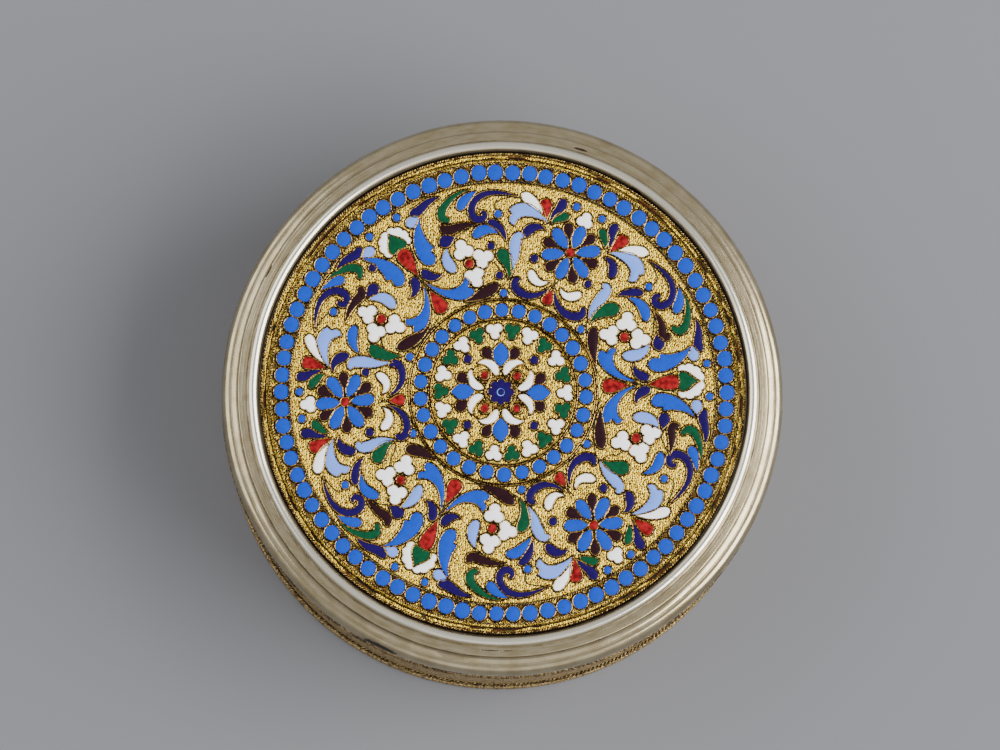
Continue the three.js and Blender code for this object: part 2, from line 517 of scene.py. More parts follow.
@dataclass
class Sheets:
    """Grids of points and faces that are gathered into one mesh."""

    points: list[Array] = field(default_factory=list)
    faces: list[Array] = field(default_factory=list)
    count: int = 0

    def add(self, grids: Iterable[Array], looped: bool = False) -> "Sheets":
        """Adds grids whose columns close on themselves.

        Args:
            grids: each is rows by columns by xyz. Rows run anticlockwise round the solid's section and
                columns anticlockwise about Z, so that faces point outwards.
            looped: True if the rows close on themselves too.

        Returns:
            These sheets, for the next call.
        """
        for grid in grids:
            rows, columns, _ = grid.shape
            index = self.count + np.arange(rows * columns).reshape(rows, columns)
            index = np.concatenate([index, index[:1]]) if looped else index
            index = np.concatenate([index, index[:, :1]], axis=1)
            quads = np.stack([index[:-1, :-1], index[:-1, 1:], index[1:, 1:], index[1:, :-1]], axis=-1)
            self.points.append(grid.reshape(-1, 3))
            self.faces.append(quads.reshape(-1, 4))
            self.count += rows * columns
        return self

    def piece(self, name: str, material: bpy.types.Material, slot: str,
              crease: float = 35) -> bpy.types.Object:
        """Writes the mesh, welds its poles and seats it on the box.

        Args:
            name: the piece's name.
            material: its material.
            slot: not used.
            crease: edges that turn by more degrees than this stay sharp.

        Returns:
            The new object, at the origin.
        """
        mesh = bpy.data.meshes.new(name)
        points = np.concatenate(self.points) * METRES
        faces = np.concatenate(self.faces)
        mesh.vertices.add(len(points))
        mesh.vertices.foreach_set("co", points.astype(np.float32).ravel())
        mesh.loops.add(faces.size)
        mesh.loops.foreach_set("vertex_index", faces.astype(np.int32).ravel())
        mesh.polygons.add(len(faces))
        mesh.polygons.foreach_set("loop_start", np.arange(0, faces.size, 4, dtype=np.int32))
        mesh.update(calc_edges=True)
        mesh.validate()
        weld(mesh)
        mesh.shade_smooth()
        mesh.set_sharp_from_angle(angle=math.radians(crease))
        mesh.materials.append(material)
        made = link(name, mesh)
        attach(made, BODY)
        mesh.calc_loop_triangles()
        LOG.info("%s: %d triangles", name, len(mesh.loop_triangles))
        return made


def curve_through(points: Sequence[Point], samples: int) -> Array:
    """A smooth open curve through points, sampled evenly by length.

    Args:
        points: the points, in order.
        samples: how many to return.

    Returns:
        The samples. Between two points the curve is a cubic whose slopes are those of a parabola
        through the neighbours, with the square root of the chord as the running parameter.
    """
    knots = np.asarray(points, dtype=float)
    chords = np.sqrt(np.linalg.norm(np.diff(knots, axis=0), axis=1))
    time = np.concatenate([[0.0], np.cumsum(chords)])
    order = 2 if len(knots) > 2 else 1
    slopes = np.gradient(knots, time, axis=0, edge_order=order)
    fine = np.linspace(0, time[-1], samples * 6)
    span = np.clip(np.searchsorted(time, fine, side="right") - 1, 0, len(knots) - 2)
    width = (time[span + 1] - time[span])[:, None]
    s = (fine - time[span])[:, None] / width
    start = (1 + 2 * s) * (1 - s) ** 2 * knots[span] + s * (1 - s) ** 2 * width * slopes[span]
    finish = s**2 * (3 - 2 * s) * knots[span + 1] + s**2 * (s - 1) * width * slopes[span + 1]
    dense = start + finish
    length = np.concatenate([[0.0], np.cumsum(np.linalg.norm(np.diff(dense, axis=0), axis=1))])
    even = np.linspace(0, length[-1], samples)
    return np.stack([np.interp(even, length, dense[:, axis]) for axis in (0, 1)], axis=1)


def sideways(path: Array) -> Array:
    """Unit normals to the left of an open path."""
    along = np.gradient(path, axis=0)
    along /= np.maximum(np.linalg.norm(along, axis=1, keepdims=True), TINY)
    return np.stack([-along[:, 1], along[:, 0]], axis=1)


@dataclass(frozen=True)
class Shape:
    """An outline of one enamel cell and, for each of its points, the point inside that it shrinks to."""

    outline: Array
    heart: Array
    lift: float = 0.0

    def moved(self, turn: Array, shift: Union[Array, Point] = (0.0, 0.0)) -> "Shape":
        """The shape turned by a matrix and then shifted."""
        return Shape(self.outline @ turn + shift, self.heart @ turn + shift, self.lift)

    def shifted(self, shift: Union[Array, Point]) -> "Shape":
        """The shape moved in its own plane."""
        return self.moved(np.eye(2), shift)

    def raised(self, lift: float) -> "Shape":
        """The shape set higher, on another cell."""
        return Shape(self.outline, self.heart, lift)

    def flipped(self) -> "Shape":
        """The shape mirrored from one side of the y axis to the other."""
        return self.moved(np.diag([-1.0, 1.0]))

    def placed(self, angle: float, mirrored: bool = False) -> "Shape":
        """The shape with its frame's y axis turned to an angle.

        Args:
            angle: the angle in degrees.
            mirrored: True to flip the shape first.

        Returns:
            The placed shape.
        """
        c, s = math.cos(math.radians(angle)), math.sin(math.radians(angle))
        shape = self.flipped() if mirrored else self
        return shape.moved(np.array([[s, -c], [c, s]]))

    def by_hand(self, shift: float = 0.04, turn: float = 1.2, swell: float = 0.02) -> "Shape":
        """The shape a little off, as a hand leaves it.

        Args:
            shift, turn, swell: the usual error in place, in degrees and as a part of the size.

        Returns:
            The shape, moved, turned and scaled about its middle.
        """
        middle = self.outline.mean(axis=0)
        angle = math.radians(HAND.normal(0, turn))
        scale = 1 + HAND.normal(0, swell)
        c, s = scale * math.cos(angle), scale * math.sin(angle)
        return self.shifted(-middle).moved(np.array([[c, s], [-s, c]]), middle + HAND.normal(0, shift, 2))

    def anticlockwise(self) -> "Shape":
        """The same shape with its outline running anticlockwise."""
        x, y = self.outline.T
        area = np.sum(x * np.roll(y, -1) - np.roll(x, -1) * y)
        return self if area > 0 else Shape(self.outline[::-1], self.heart[::-1], self.lift)


def between(left: Array, right: Array) -> Shape:
    """A shape bounded by two edges.

    Args:
        left, right: the edges, which share their ends.

    Returns:
        The shape. Each of its points shrinks to the line midway between the edges.
    """
    middle = (left + right) / 2
    return Shape(np.concatenate([left, right[-2:0:-1]]), np.concatenate([middle, middle[-2:0:-1]]))


def leaf(spine: Sequence[Point], width: float, swell: float = 0.75, taper: float = 1.0,
         samples: int = 24) -> Shape:
    """A drop, comma or leaf with a pointed tail and a round head.

    Args:
        spine: points from the tail to the head.
        width: the greatest width.
        swell: how far along the spine the greatest width is.
        taper: above 1 the tail is drawn out thinner.
        samples: points along each side.

    Returns:
        The shape. Its half width is a sine power up to the swell and a quarter ellipse after it.
    """
    spread = (1 - np.cos(np.linspace(0, math.pi, samples))) / 2
    even = curve_through(spine, samples * 3)
    run = np.linspace(0, 1, len(even))
    path = np.stack([np.interp(spread, run, even[:, axis]) for axis in (0, 1)], axis=1)
    tail = np.sin(np.clip(spread / swell, 0, 1) * math.pi / 2) ** taper
    head = np.sqrt(np.clip(1 - ((spread - swell) / (1 - swell)) ** 2, 0, 1))
    half = np.where(spread < swell, tail, head) * width / 2
    normal = np.stack([np.interp(spread, run, sideways(even)[:, axis]) for axis in (0, 1)], axis=1)
    return between(path + normal * half[:, None], path - normal * half[:, None])


def petal(spine: Sequence[Point], width: float, sharpness: float = 0.85, samples: int = 18) -> Shape:
    """A petal pointed at both ends.

    Args:
        spine: points from one end to the other.
        width: the greatest width.
        sharpness: the power of the sine; a greater one draws the ends out thinner.
        samples: points along each side.

    Returns:
        The shape. Its half width is a sine power of the way along the spine.
    """
    path = curve_through(spine, samples)
    half = np.sin(np.linspace(0, math.pi, samples)) ** sharpness * width / 2
    return between(path + sideways(path) * half[:, None], path - sideways(path) * half[:, None])


def lobed(first: Sequence[Point], second: Sequence[Point], samples: int = 34) -> Shape:
    """A leaf drawn by its two edges, each a smooth curve from the shared tail to the shared head."""
    return between(curve_through(first, samples), curve_through(second, samples))


def blossom(centre: Point, size: float, lobes: int, depth: float, turn: float = 0.0,
            samples: int = 42) -> Shape:
    """A round shape with lobes, the union of equal circles set round a centre.

    Args:
        centre: its middle.
        size: how far its lobes reach.
        lobes: how many there are.
        depth: how far out each circle's centre is, as a part of the size; 0 gives a plain circle.
        turn: the direction of the first lobe, in degrees.
        samples: points of the outline.

    Returns:
        The shape. Seen from the middle, a circle of radius r set out by d reaches
        d cos a + sqrt(r^2 - d^2 sin^2 a) at an angle a from its own direction.
    """
    angles = math.radians(turn) + np.linspace(0, 2 * math.pi, samples, endpoint=False)
    sector = 2 * math.pi / lobes
    aside = (angles - math.radians(turn) + sector / 2) % sector - sector / 2
    reach = np.sqrt(np.clip((1 - depth) ** 2 - (depth * np.sin(aside)) ** 2, 0, None))
    radius = size * (depth * np.cos(aside) + reach)
    outline = np.array(centre) + radius[:, None] * np.stack([np.cos(angles), np.sin(angles)], axis=1)
    return Shape(outline, np.tile(np.array(centre, dtype=float), (samples, 1)))


def scalloped(path: Sequence[Point], bumps: int, rise: float, samples: int) -> Array:
    """A smooth curve that swells to its left in even scallops.

    Args:
        path: the points that the curve passes through.
        bumps: how many scallops there are.
        rise: how far each swells.
        samples: points of the curve.

    Returns:
        The samples, each moved sideways by the rise times a sine's size to the power 0.6.
    """
    base = curve_through(path, samples)
    wave = np.abs(np.sin(np.linspace(0, bumps * math.pi, samples))) ** 0.6
    return base + sideways(base) * (rise * wave)[:, None]


def dot(centre: Point, radius: float, samples: int = 20) -> Shape:
    """A round dot."""
    return blossom(centre, radius, 1, 0.0, samples=samples)


Drawn = tuple[Enamel, Shape]


def each(cells: Iterable[Drawn], change: Callable[[Shape], Shape]) -> list[Drawn]:
    """The cells in their order, each shape changed in the same way."""
    return [(enamel, change(shape)) for enamel, shape in cells]


def doubled(half: Sequence[Point]) -> list[Point]:
    """A line up to the y axis and on down its mirror image."""
    return [*half, *((-x, y) for x, y in half[-2::-1])]


@dataclass
class Palmette:
    """The upright motif on each of three axes: drops, a pointed leaf in a shell and leaves either side."""

    upper_drop: float = 2.15
    lower_drop: float = 2.1
    bead: float = 0.6
    scallops: int = 8
    scallop_rise: float = 0.28
    shell_samples: int = 97

    def centre(self) -> list[Drawn]:
        """The cells on the axis."""
        edge = [(0.0, 29.45), (-0.4, 28.75), (-1.1, 27.9), (-1.42, 27.15), (-1.2, 26.55), (0.0, 26.8)]
        shell_in = [(-1.5, 26.5), (-1.58, 27.2), (-1.25, 28.0), (-0.5, 28.95), (0.0, 29.6)]
        shell_out = [(-1.5, 26.5), (-2.0, 26.7), (-2.3, 27.5), (-2.15, 28.55), (-1.55, 29.4)]
        shell_out += [(-0.75, 29.85), (0.0, 29.8)]
        inner = curve_through(doubled(shell_in), self.shell_samples)
        outer = scalloped(doubled(shell_out), self.scallops, self.scallop_rise, self.shell_samples)
        return [
            (RED, leaf([(0, 21.7), (0, 24.0), (0, 26.4)], self.upper_drop, 0.8, 1.1)),
            (RED, leaf([(0, 19.0), (0, 16.8), (0, 14.9)], self.lower_drop, 0.78, 1.3)),
            (GREEN, lobed(edge, [(-x, y) for x, y in edge])),
            (WHITE, between(inner, outer)),
        ]

    def side(self) -> list[Drawn]:
        """The cells to one side, which are mirrored on the other."""
        wing = [(9.5, 29.55), (7.9, 29.95), (6.5, 29.8), (5.4, 29.7), (4.65, 30.35)]
        long_out = [(5.55, 28.7), (4.75, 27.6), (4.35, 26.25), (4.2, 24.9), (4.3, 23.85)]
        long_out += [(3.7, 23.65), (3.75, 22.8), (3.35, 22.1), (2.7, 21.9)]
        long_in = [(5.55, 28.7), (4.1, 28.0), (2.7, 26.55), (1.85, 24.9), (1.65, 23.55)]
        long_in += [(1.9, 22.5), (2.7, 21.9)]
        low_up = [(0.3, 20.2), (1.3, 18.4), (2.4, 17.3), (3.7, 16.85), (4.7, 17.0), (5.4, 17.55)]
        low_down = [(0.3, 20.2), (0.75, 18.1), (1.7, 16.35), (3.0, 15.05), (4.4, 14.55), (5.4, 14.8)]
        low_down += [(5.4, 15.5), (4.95, 15.95), (5.75, 16.55), (5.4, 17.55)]
        middle = [(3.1, 19.85), (2.2, 19.95), (1.35, 20.6), (0.9, 22.1)]
        return [
            (SKY, dot((2.5, 30.8), self.bead)),
            (INDIGO, leaf(wing, 1.4, 0.84, 0.8)),
            (PALE, leaf([(5.3, 28.95), (4.3, 28.95), (3.0, 28.75)], 1.65, 0.62)),
            (SKY, lobed(long_out, long_in)),
            (SKY, lobed(low_up, low_down)),
            (INDIGO, leaf(middle, 1.4, 0.7, 1.2)),
        ]

    def stems(self) -> list[Sequence[Point]]:
        """Plain wires to one side of the axis."""
        return [[(0.12, 18.9), (0.12, 20.6), (0.25, 22.2), (1.0, 24.2), (1.75, 26.4)]]


@dataclass
class Rosette:
    """The six-petalled flower between two palmettes, with drops, leaves and crescents round it.

    The flower and what stands above it are shifted a little off the axis.
    """

    shift: Point = (0.0, 0.0)
    crown: Point = (0.0, 28.8)
    middle: float = 23.55
    petals: int = 6
    petal_width: float = 1.95
    drop_width: float = 1.5
    bead: float = 0.6

    def centre(self) -> list[Drawn]:
        """The flower, the blossom above it and the drop below it."""
        cells: list[Drawn] = [(RED, dot((0.0, self.middle), 0.68))]
        for number in range(self.petals):
            turn = 90 + 360 * number / self.petals
            drop = self._ray(turn + 180 / self.petals, 1.9, 4.55)
            cells.append((SKY, leaf(self._ray(turn, 0.8, 4.45), self.petal_width, 0.58, 0.75)))
            cells.append((MAROON, leaf(drop, self.drop_width, 0.68, 1.1)))
        for enamel, shape in self._crown_leaves():
            cells += [(enamel, shape), (enamel, shape.flipped())]
        moved = each(cells, lambda shape: shape.shifted(self.shift))
        moved.append((WHITE, blossom(self.crown, 1.3, 3, 0.44, 90)))
        moved.append((RED, leaf([(0, 17.3), (0, 16.1), (0, 14.75)], 1.6, 0.78, 1.4)))
        return moved

    def _ray(self, turn: float, near: float, far: float) -> list[Point]:
        """Points along a ray out of the flower's middle."""
        c, s = math.cos(math.radians(turn)), math.sin(math.radians(turn))
        return [(c * r, self.middle + s * r) for r in (near, (near + far) / 2, far)]

    def _crown_leaves(self) -> list[Drawn]:
        """The leaves beside the blossom, on one side of the axis."""
        return [
            (SKY, dot((2.1, 30.3), self.bead)),
            (INDIGO, leaf([(5.0, 26.6), (4.75, 27.9), (4.35, 29.1), (4.45, 30.6)], 1.42, 0.8, 1.0)),
            (GREEN, leaf([(4.35, 26.4), (3.95, 27.4), (3.3, 28.1), (2.4, 28.5)], 1.35, 0.62)),
            (RED, leaf([(5.3, 25.9), (5.95, 27.45), (6.65, 29.4)], 1.8, 0.82, 1.3)),
        ]

    def side(self) -> list[Drawn]:
        """The cells to one side, which are mirrored on the other."""
        hook = [(0.6, 17.4), (1.4, 15.95), (2.6, 15.0), (3.9, 14.75), (5.05, 15.05)]
        hook += [(5.6, 15.8), (5.15, 16.6)]
        return [
            (INDIGO, leaf([(4.9, 24.95), (6.0, 24.9), (6.95, 24.0), (7.1, 22.6)], 1.4, 0.7)),
            (INDIGO, dot((4.5, 20.3), 0.62)),
            (WHITE, leaf([(1.0, 18.1), (2.1, 17.3), (3.15, 17.5), (4.15, 18.6)], 1.3, 0.7)),
            (INDIGO, leaf(hook, 1.2, 0.78, 0.9, 34)),
        ]

    def stems(self) -> list[Sequence[Point]]:
        """Plain wires to one side of the axis."""
        return [[(0.14, 17.3), (0.14, 18.1), (0.3, 18.9)]]


@dataclass
class Scrolls:
    """The scrolling leaves and the small blossom between a palmette and a rosette.

    The frame's y axis is midway between the two, and x runs towards the palmette. Each half sector
    was laid out by hand, so the spines of its leaves are its own.
    """

    slide: Point
    comma: Sequence[Point]
    crescent: Sequence[Point]
    flower: Point
    facing: float
    sky: Sequence[Point]
    green: Sequence[Point]
    pale: Sequence[Point]
    maroon: Sequence[Point]
    behind: Sequence[Point] = ()
    bud: Point = (0.0, 0.0)
    sky_dots: Sequence[Point] = ()
    indigo_dots: Sequence[Point] = ()
    green_width: float = 1.9
    bead: float = 0.6
    flower_heart: float = 0.68
    petal_out: float = 2.22
    petal_size: float = 1.6
    fern_slide: float = 0.8

    def centre(self) -> list[Drawn]:
        """All the cells of one half sector."""
        return self._outer() + self._around_blossom() + self._inner()

    def _outer(self) -> list[Drawn]:
        """The scroll and the leaves along the outer border, slid round by the copy's own amount."""
        scroll = [(-5.1, 29.4), (-2.6, 30.3), (-0.4, 30.4), (1.2, 29.65), (1.95, 28.4), (1.75, 27.15)]
        scroll += [(0.95, 26.65), (0.25, 26.95), (0.15, 27.55), (0.65, 27.8)]
        bud = [(0.9, 30.95), (2.3, 30.2), (3.2, 29.35), (3.75, 28.3)]
        fern_out = [(1.9, 31.15), (4.0, 30.85), (5.85, 29.8), (7.1, 28.3), (7.1, 27.1), (6.4, 26.45)]
        fern_in = [(1.9, 31.15), (3.6, 30.45), (4.85, 29.4), (5.8, 28.1), (5.85, 27.3), (5.3, 26.9)]
        fern = lobed([*fern_out, (5.4, 26.35)], [*fern_in, (5.4, 26.35)])
        curl_up = [(-9.2, 24.9), (-8.2, 26.7), (-6.8, 28.1), (-5.0, 28.35), (-3.85, 27.7)]
        curl_up += [(-4.05, 27.0), (-3.6, 26.5), (-3.65, 25.8), (-4.15, 25.35)]
        curl_down = [(-9.2, 24.9), (-7.7, 25.9), (-6.2, 26.4), (-5.2, 26.35), (-4.6, 25.9), (-4.15, 25.35)]
        slid = [
            (INDIGO, leaf(scroll, 1.12, 0.78, 0.9, 48)),
            (SKY, leaf(bud, 1.5, 0.74)),
            (PALE, lobed(curl_up, curl_down)),
            (WHITE, leaf([(-9.0, 25.9), (-8.1, 27.6), (-7.05, 28.95), (-5.95, 29.95)], 1.55, 0.78)),
        ]
        fern_shift = (self.slide[0] * self.fern_slide, 0.0)
        return each(slid, lambda shape: shape.shifted(self.slide)) + [(GREEN, fern.shifted(fern_shift))]

    def _around_blossom(self) -> list[Drawn]:
        """The blossom of three petals and what curls round it."""
        x, y = self.flower
        head_x, head_y = self.comma[-1]
        comma = [*self.comma[:-1], (head_x - 0.35, head_y - 0.15), (head_x + 0.35, head_y + 0.7)]
        cells: list[Drawn] = [
            (MAROON, leaf(comma, 1.35, 0.8)),
            (PALE, leaf(self.crescent, 1.65, 0.66, 0.9)),
            (RED, dot((x, y), self.flower_heart)),
        ]
        if any(self.bud):
            tail = (self.bud[0] - 1.5, self.bud[1] + 0.55)
            head = (self.bud[0] + 0.9, self.bud[1] - 0.1)
            cells.append((INDIGO, leaf([tail, self.bud, head], 1.8, 0.62, 1.3)))
        for turn in (self.facing - 90, self.facing, self.facing + 90):
            c, s = math.cos(math.radians(turn)), math.sin(math.radians(turn))
            middle = (x + self.petal_out * c, y + self.petal_out * s)
            cells.append((WHITE, blossom(middle, self.petal_size, 3, 0.485, turn)))
        return cells

    def _inner(self) -> list[Drawn]:
        """The leaves, drops and dots along the inner border."""
        cells = [
            (SKY, leaf(self.sky, 1.6, 0.7)),
            (GREEN, leaf(self.green, self.green_width, 0.74)),
            (PALE, leaf(self.pale, 1.6, 0.66)),
            (MAROON, leaf(self.maroon, 1.65, 0.74, 1.1)),
        ]
        if self.behind:
            cells.append((INDIGO, leaf(self.behind, 1.25, 0.7)))
        cells += [(SKY, dot(point, self.bead)) for point in self.sky_dots]
        cells += [(INDIGO, dot(point, self.bead)) for point in self.indigo_dots]
        return cells

    def stems(self) -> list[Sequence[Point]]:
        """Plain wires that join the leaves."""
        slide = self.slide[0]
        tail = self.pale[0]
        near_dot = self.sky_dots[0]
        return [
            [(6.6, 13.35), (3.95, 13.75), (1.7, 14.3), (-0.6, 15.4), (-2.05, 16.5), tail],
            [self.comma[0], (3.75 + slide * 0.3, 24.6), (5.0, 23.6), self.crescent[0]],
            [self.green[0], (-1.4, 18.4), (-0.9, 19.4), (0.4, 20.1)],
            [(-5.4 + slide, 29.3), (-3.4 + slide, 29.3), (-1.8 + slide, 28.7), near_dot],
        ]


# The scrolls on either side of each palmette in turn, in the order in which they are placed
HALF_SECTORS = (
    Scrolls(
        slide=(0.4, -0.1), comma=[(2.1, 25.7), (4.5, 25.5), (6.5, 24.9)], bud=(6.75, 23.5),
        crescent=[(5.95, 22.4), (6.45, 20.4), (5.15, 18.1)], flower=(3.1, 19.85), facing=138,
        sky=[(-1.7, 23.6), (0.8, 24.6), (2.8, 23.7)], behind=[(-2.8, 22.3), (-2.1, 24.3), (-0.8, 25.9)],
        green=[(-1.5, 16.5), (-2.1, 18.7), (-0.8, 21.7)], green_width=2.15,
        pale=[(-1.6, 16.7), (-3.05, 18.3), (-3.8, 20.2), (-4.5, 21.6), (-5.4, 21.4)],
        maroon=[(4.3, 13.95), (1.9, 14.9), (-0.6, 16.8)],
        sky_dots=((-1.3, 27.1), (-1.5, 15.0)),
    ),
    Scrolls(
        slide=(1.2, 0.2), comma=[(2.5, 26.5), (5.0, 25.7), (6.9, 25.1)], bud=(7.2, 23.4),
        crescent=[(5.4, 23.2), (6.15, 21.7), (5.3, 19.1)], flower=(2.7, 20.85), facing=139,
        sky=[(-1.9, 24.1), (0.2, 25.5), (2.4, 25.0)],
        green=[(-2.6, 17.8), (-2.8, 19.5), (-1.6, 21.9)], green_width=2.05,
        pale=[(-2.8, 17.5), (-3.9, 19.2), (-4.5, 21.0), (-5.1, 22.0), (-5.9, 21.8)],
        maroon=[(4.3, 14.1), (1.7, 15.3), (-0.9, 17.0)],
        sky_dots=((-0.9, 27.3), (-1.4, 14.7)),
    ),
    Scrolls(
        slide=(1.9, 0.25), comma=[(-0.1, 25.8), (2.8, 25.95), (5.1, 25.55)], bud=(6.15, 24.15),
        crescent=[(4.45, 24.0), (5.55, 22.1), (4.75, 20.1)], flower=(2.55, 21.15), facing=182,
        sky=[(-3.6, 21.9), (-1.8, 23.9), (0.1, 24.1)],
        green=[(-1.2, 16.3), (-2.3, 18.6), (-2.2, 20.0), (-1.5, 20.7)],
        pale=[(-2.75, 17.1), (-3.9, 19.3), (-4.6, 21.3), (-5.3, 22.3), (-6.15, 22.1)],
        maroon=[(4.9, 14.1), (2.2, 15.2), (-0.5, 17.2)],
        sky_dots=((0.6, 28.1), (-0.9, 14.9)), indigo_dots=((9.1, 25.6),),
    ),
    Scrolls(
        slide=(0.0, -0.2), comma=[(1.4, 25.75), (3.8, 25.65), (6.3, 25.4)], bud=(6.3, 23.6),
        crescent=[(6.1, 22.5), (6.4, 20.8), (5.3, 18.8)], flower=(3.1, 19.85), facing=162,
        sky=[(-2.0, 23.9), (0.2, 24.75), (2.0, 23.7)], behind=[(-2.8, 22.9), (-2.1, 24.7), (-0.3, 26.1)],
        green=[(-2.4, 17.1), (-2.8, 19.1), (-1.4, 21.5)],
        pale=[(-3.2, 18.0), (-3.8, 20.2), (-4.1, 22.3), (-4.7, 23.3), (-5.5, 23.1)],
        maroon=[(4.4, 14.1), (1.6, 15.1), (-0.9, 16.4)],
        sky_dots=((-2.0, 27.0), (-1.6, 14.9)), indigo_dots=((-0.4, 22.3), (-1.3, 17.7)),
    ),
    Scrolls(
        slide=(0.0, 0.0), comma=[(0.9, 25.8), (3.3, 25.5), (4.7, 24.95), (6.4, 24.6)],
        crescent=[(5.5, 23.2), (5.8, 21.7), (5.6, 20.4), (4.8, 19.2)], flower=(2.8, 20.4), facing=168,
        sky=[(-3.0, 21.9), (-1.7, 23.4), (-0.4, 24.3), (1.0, 24.2)],
        behind=[(-3.1, 22.3), (-2.6, 24.3), (-1.7, 25.5), (-0.8, 25.7)],
        green=[(-1.45, 16.1), (-2.3, 18.3), (-1.95, 20.0), (-0.95, 20.9)], green_width=1.75,
        pale=[(-2.6, 17.1), (-3.5, 19.0), (-4.0, 21.0), (-4.8, 22.2), (-5.6, 21.9)],
        maroon=[(4.2, 14.0), (1.7, 14.95), (-0.6, 16.9)], sky_dots=((-2.15, 26.8), (-1.9, 14.8)),
    ),
    Scrolls(
        slide=(1.1, 0.0), comma=[(2.1, 25.8), (4.5, 25.5), (6.9, 25.0)], bud=(6.6, 23.1),
        crescent=[(6.1, 22.4), (6.2, 20.2), (5.0, 18.0)], flower=(2.75, 20.05), facing=139,
        sky=[(-1.3, 24.4), (0.9, 25.3), (3.1, 24.1)], behind=[(-3.0, 22.8), (-2.25, 24.7), (-0.3, 26.1)],
        green=[(-2.6, 17.7), (-2.8, 19.5), (-1.4, 21.7)],
        pale=[(-2.8, 17.4), (-3.8, 19.4), (-4.1, 21.3), (-4.7, 22.4), (-5.5, 22.2)],
        maroon=[(3.1, 14.0), (1.0, 15.1), (-0.8, 16.9)],
        sky_dots=((-1.1, 27.4), (-2.1, 14.7)),
    ),
)


@dataclass
class Medallion:
    """The fourfold flower in the middle, within a ring of trefoils."""

    turn: float = -4.3
    trefoils: int = 22
    trefoil_ring: float = 9.4
    bead_ring: float = 3.42
    eye_rings: tuple[float, ...] = (2.2, 2.36)
    shift: Point = (-0.33, 0.02)

    def cells(self) -> list[Drawn]:
        """All the cells, in the plaque's own frame."""
        cells: list[Drawn] = [
            (INDIGO, blossom((0.0, 0.0), 1.95, 8, 0.7, self.turn, 96)),
            (PALE, dot((0.0, 0.0), 0.6).raised(0.1)),
            (INDIGO, dot((0.0, 0.0), 0.51).raised(0.15)),
            (GREEN, dot((0.0, 0.0), 0.24).raised(0.2)),
        ]
        for quarter in range(4):
            axis = self.turn + 90 * quarter
            cells += each(self._on_axis(), lambda shape: shape.placed(axis))
            cells += each(self._on_diagonal(), lambda shape: shape.placed(axis + 45))
            cells += each(self._beside_axis(), lambda shape: shape.placed(axis))
            cells += each(self._beside_axis(), lambda shape: shape.placed(axis, True))
        cells = each(cells, lambda shape: shape.shifted(self.shift))
        for number in range(self.trefoils):
            enamel = GREEN if number % 2 else WHITE
            angle = self.turn + 360 * number / self.trefoils
            shape = blossom((0.0, self.trefoil_ring), 1.3, 3, 0.49, -90)
            cells.append((enamel, shape.placed(angle)))
        return cells

    def _on_axis(self) -> list[Drawn]:
        """The pointed petal."""
        return [(SKY, petal([(0.0, 3.9), (0.0, 5.8), (0.0, 7.5)], 2.5, 0.9))]

    def _on_diagonal(self) -> list[Drawn]:
        """The red bead in its drop of ground, and the dot beyond."""
        return [(RED, dot((0.0, self.bead_ring), 0.62)), (INDIGO, dot((0.0, 7.0), 0.64))]

    def _beside_axis(self) -> list[Drawn]:
        """The crescent and the drop beside the petal."""
        return [
            (WHITE, leaf([(3.35, 4.3), (2.3, 4.5), (1.2, 3.95), (0.6, 2.6)], 1.2, 0.62, 0.8)),
            (MAROON, leaf([(1.35, 4.9), (1.85, 5.5), (2.5, 6.6)], 1.6, 0.62, 0.8)),
        ]

    def rims(self) -> list[Shape]:
        """Closed wires: the gold drops on the diagonals and the rings round the middle."""
        drop = leaf([(0.0, 2.3), (0.0, 3.8), (0.0, 5.2)], 2.5, 0.52, 0.8)
        diagonals = [self.turn + 45 + 90 * quarter for quarter in range(4)]
        rims = [dot((0.0, 0.0), radius, 64) for radius in self.eye_rings]
        for rim in (drop, dot((0.0, self.bead_ring), 0.85)):
            rims += [rim.placed(angle) for angle in diagonals]
        return [rim.shifted(self.shift) for rim in rims]


@dataclass(frozen=True)
class BeadRing:
    """Beads side by side: how many, the ring's radius and a bead's, and the first one's angle.

    The drift, in degrees, brings them closer together on one side.
    """

    count: int
    ring: float
    bead: float
    first: float
    drift: float = 0.0
    shift: Point = (0.0, 0.0)

    def beads(self) -> list[Shape]:
        """The beads in order, each a little off in place and size."""
        bead = dot((0.0, self.ring), self.bead)
        angles = [self.first + 360 * number / self.count for number in range(self.count)]
        angles = [angle + self.drift * math.cos(math.radians(angle)) for angle in angles]
        return [bead.placed(angle).shifted(self.shift).by_hand(0.05, 0, 0.025) for angle in angles]


class Rope(NamedTuple):
    """Two wires twisted together: the ring's radius, a wire's own, and 1 or -1 for the way they twist."""

    ring: float
    strand: float
    hand: int


